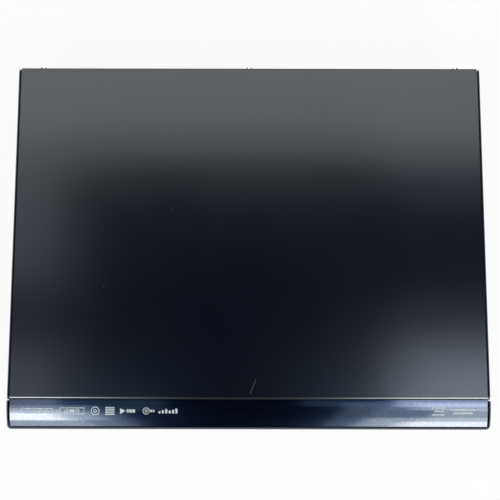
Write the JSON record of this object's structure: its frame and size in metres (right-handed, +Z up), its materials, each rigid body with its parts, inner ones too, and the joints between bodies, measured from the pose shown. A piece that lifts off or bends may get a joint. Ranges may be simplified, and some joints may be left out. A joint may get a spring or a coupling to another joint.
{
  "type": "disc and cassette recorder",
  "caption": "Full-width home video recorder with a cassette flap, a motor-driven disc tray, a fold-down socket door, push buttons, and a working cassette deck and disc drive inside.",
  "frame": {"origin": "on the surface that the feet stand on, below the middle of the whole part's box", "axes": "+X to the right as seen from the front, +Y to the rear, +Z up"},
  "size_m": [0.43, 0.338, 0.089],
  "materials": {
    "black_painted_steel": "fine-grained matte black paint",
    "galvanised_steel": "bare zinc-coated sheet",
    "gloss_black_plastic": "polished blue-black moulding",
    "smoked_window": "smoked clear moulding",
    "button_plastic": "satin moulding",
    "green_board": "lacquered circuit board",
    "component_plastic": "moulded black plastic",
    "plated_metal": "bright plated steel",
    "machined_aluminium": "turned and cast aluminium",
    "drive_plastic": "moulded drive plastic",
    "pale_plastic": "natural moulded plastic",
    "soft_rubber": "soft black rubber"
  },
  "bodies": {
    "chassis": {"front_bezel": "gloss_black_plastic", "display_window": "smoked_window", "front_board": "green_board", "display_module": "component_plastic", "front_av_sockets": "component_plastic", "usb_socket": "plated_metal", "card_slot": "component_plastic", "base_chassis": "galvanised_steel", "feet": "component_plastic", "foot_pads": "soft_rubber", "rear_panel": "galvanised_steel", "top_cover": "black_painted_steel", "casing_screws": "plated_metal", "main_board": "green_board", "main_board_chips": "component_plastic", "rear_av_sockets": "component_plastic", "tuner_module": "galvanised_steel", "hdmi_socket": "plated_metal", "lan_socket": "plated_metal", "power_board": "green_board", "power_parts": "component_plastic", "ac_inlet": "component_plastic", "fan_frame": "component_plastic", "drive_bracket": "galvanised_steel", "hard_drive": "machined_aluminium", "drive_flat_cable": "pale_plastic", "drive_chassis": "drive_plastic", "drive_lid": "galvanised_steel", "deck_base": "galvanised_steel", "cassette_cage": "galvanised_steel", "lower_drum": "machined_aluminium", "capstan_motor": "plated_metal"},
    "disc_tray": {"disc_tray": "drive_plastic", "tray_front": "gloss_black_plastic"},
    "traverse": {"traverse_frame": "drive_plastic", "sled_rods": "plated_metal", "spindle_motor": "plated_metal"},
    "tray_gear": {"tray_gear": "pale_plastic"},
    "turntable": {"turntable": "drive_plastic"},
    "laser_sled": {"laser_sled": "component_plastic"},
    "clamp_puck": {"clamp_puck": "drive_plastic"},
    "cassette_flap": {"cassette_flap": "gloss_black_plastic"},
    "cassette_carriage": {"cassette_carriage": "galvanised_steel"},
    "cassette_holder": {"cassette_holder": "galvanised_steel"},
    "head_drum": {"head_drum": "machined_aluminium"},
    "capstan": {"capstan": "plated_metal"},
    "supply_reel": {"supply_reel": "pale_plastic"},
    "takeup_reel": {"takeup_reel": "pale_plastic"},
    "pinch_arm": {"pinch_arm": "pale_plastic"},
    "pinch_roller": {"pinch_roller": "soft_rubber"},
    "supply_guide": {"supply_guide": "pale_plastic"},
    "takeup_guide": {"takeup_guide": "pale_plastic"},
    "front_door": {"front_door": "gloss_black_plastic"},
    "power_button": {"power_button": "button_plastic"},
    "disc_open_button": {"disc_open_button": "button_plastic"},
    "cassette_eject_button": {"cassette_eject_button": "button_plastic"},
    "record_button": {"record_button": "button_plastic"},
    "stop_button": {"stop_button": "button_plastic"},
    "play_button": {"play_button": "button_plastic"},
    "fan_rotor": {"fan_rotor": "component_plastic"}
  },
  "joints": [
    {"name": "tray_slide", "type": "slide", "parent": "chassis", "child": "disc_tray", "axis": [0, -1, 0], "range_m": [0, 0.142]},
    {"name": "tray_gear_turn", "type": "hinge", "parent": "chassis", "child": "tray_gear", "pos_m": [0.06886, -0.1195, 0.0567], "axis": [0, 0, 1], "range_deg": [0, 818.6]},
    {"name": "traverse_lift", "type": "hinge", "parent": "chassis", "child": "traverse", "pos_m": [0.11026, -0.0122, 0.04625], "axis": [-1, 0, 0], "range_deg": [0, 5.6]},
    {"name": "turntable_spin", "type": "hinge", "parent": "traverse", "child": "turntable", "pos_m": [0.11026, -0.1002, 0.0563], "axis": [0, 0, 1], "continuous": true},
    {"name": "sled_slide", "type": "slide", "parent": "traverse", "child": "laser_sled", "axis": [0, 1, 0], "range_m": [0, 0.034]},
    {"name": "clamp_spin", "type": "hinge", "parent": "chassis", "child": "clamp_puck", "pos_m": [0.11026, -0.1002, 0.078], "axis": [0, 0, 1], "continuous": true},
    {"name": "flap_swing", "type": "hinge", "parent": "chassis", "child": "cassette_flap", "pos_m": [-0.109, -0.1648, 0.0748], "axis": [1, 0, 0], "range_deg": [0, 80], "stiffness_Nm_per_rad": 0.01, "springref_deg": -17.19},
    {"name": "carriage_slide", "type": "slide", "parent": "chassis", "child": "cassette_carriage", "axis": [0, 1, 0], "range_m": [0, 0.03]},
    {"name": "holder_drop", "type": "slide", "parent": "cassette_carriage", "child": "cassette_holder", "axis": [0, 0, -1], "range_m": [0, 0.014]},
    {"name": "head_drum_spin", "type": "hinge", "parent": "chassis", "child": "head_drum", "pos_m": [-0.109, 0.042, 0.0306], "axis": [0, -0.0958, 0.9954], "continuous": true},
    {"name": "capstan_spin", "type": "hinge", "parent": "chassis", "child": "capstan", "pos_m": [-0.061, 0.025, 0.0256], "axis": [0, 0, 1], "continuous": true},
    {"name": "supply_reel_spin", "type": "hinge", "parent": "chassis", "child": "supply_reel", "pos_m": [-0.155, -0.051, 0.0256], "axis": [0, 0, 1], "continuous": true},
    {"name": "takeup_reel_spin", "type": "hinge", "parent": "chassis", "child": "takeup_reel", "pos_m": [-0.063, -0.051, 0.0256], "axis": [0, 0, 1], "continuous": true},
    {"name": "pinch_swing", "type": "hinge", "parent": "chassis", "child": "pinch_arm", "pos_m": [-0.035, 0.011, 0.0256], "axis": [0, 0, 1], "range_deg": [0, 25]},
    {"name": "pinch_roller_spin", "type": "hinge", "parent": "pinch_arm", "child": "pinch_roller", "pos_m": [-0.04785, 0.02824, 0.0256], "axis": [0, 0, 1], "continuous": true},
    {"name": "supply_guide_slide", "type": "slide", "parent": "chassis", "child": "supply_guide", "axis": [-0.2554, 0.9668, 0], "range_m": [0, 0.05482]},
    {"name": "takeup_guide_slide", "type": "slide", "parent": "chassis", "child": "takeup_guide", "axis": [0.2554, 0.9668, 0], "range_m": [0, 0.05482]},
    {"name": "door_fold", "type": "hinge", "parent": "chassis", "child": "front_door", "pos_m": [-0.082, -0.167, 0.0127], "axis": [1, 0, 0], "range_deg": [0, 92]},
    {"name": "fan_spin", "type": "hinge", "parent": "chassis", "child": "fan_rotor", "pos_m": [0.00726, 0.1519, 0.045], "axis": [0, 1, 0], "continuous": true},
    {"name": "power_button_press", "type": "slide", "parent": "chassis", "child": "power_button", "axis": [0, 1, 0], "range_m": [0, 0.0008], "stiffness_N_per_m": 500, "springref_m": -0.0004},
    {"name": "disc_open_button_press", "type": "slide", "parent": "chassis", "child": "disc_open_button", "axis": [0, 1, 0], "range_m": [0, 0.0008], "stiffness_N_per_m": 500, "springref_m": -0.0004},
    {"name": "cassette_eject_button_press", "type": "slide", "parent": "chassis", "child": "cassette_eject_button", "axis": [0, 1, 0], "range_m": [0, 0.0008], "stiffness_N_per_m": 500, "springref_m": -0.0004},
    {"name": "record_button_press", "type": "slide", "parent": "chassis", "child": "record_button", "axis": [0, 1, 0], "range_m": [0, 0.0008], "stiffness_N_per_m": 500, "springref_m": -0.0004},
    {"name": "stop_button_press", "type": "slide", "parent": "chassis", "child": "stop_button", "axis": [0, 1, 0], "range_m": [0, 0.0008], "stiffness_N_per_m": 500, "springref_m": -0.0004},
    {"name": "play_button_press", "type": "slide", "parent": "chassis", "child": "play_button", "axis": [0, 1, 0], "range_m": [0, 0.0008], "stiffness_N_per_m": 500, "springref_m": -0.0004}
  ],
  "couplings": [
    {"joint": "tray_gear_turn", "follows": "tray_slide", "rad_per_m": 100},
    {"joint": "takeup_guide_slide", "follows": "supply_guide_slide", "ratio": 1}
  ]
}
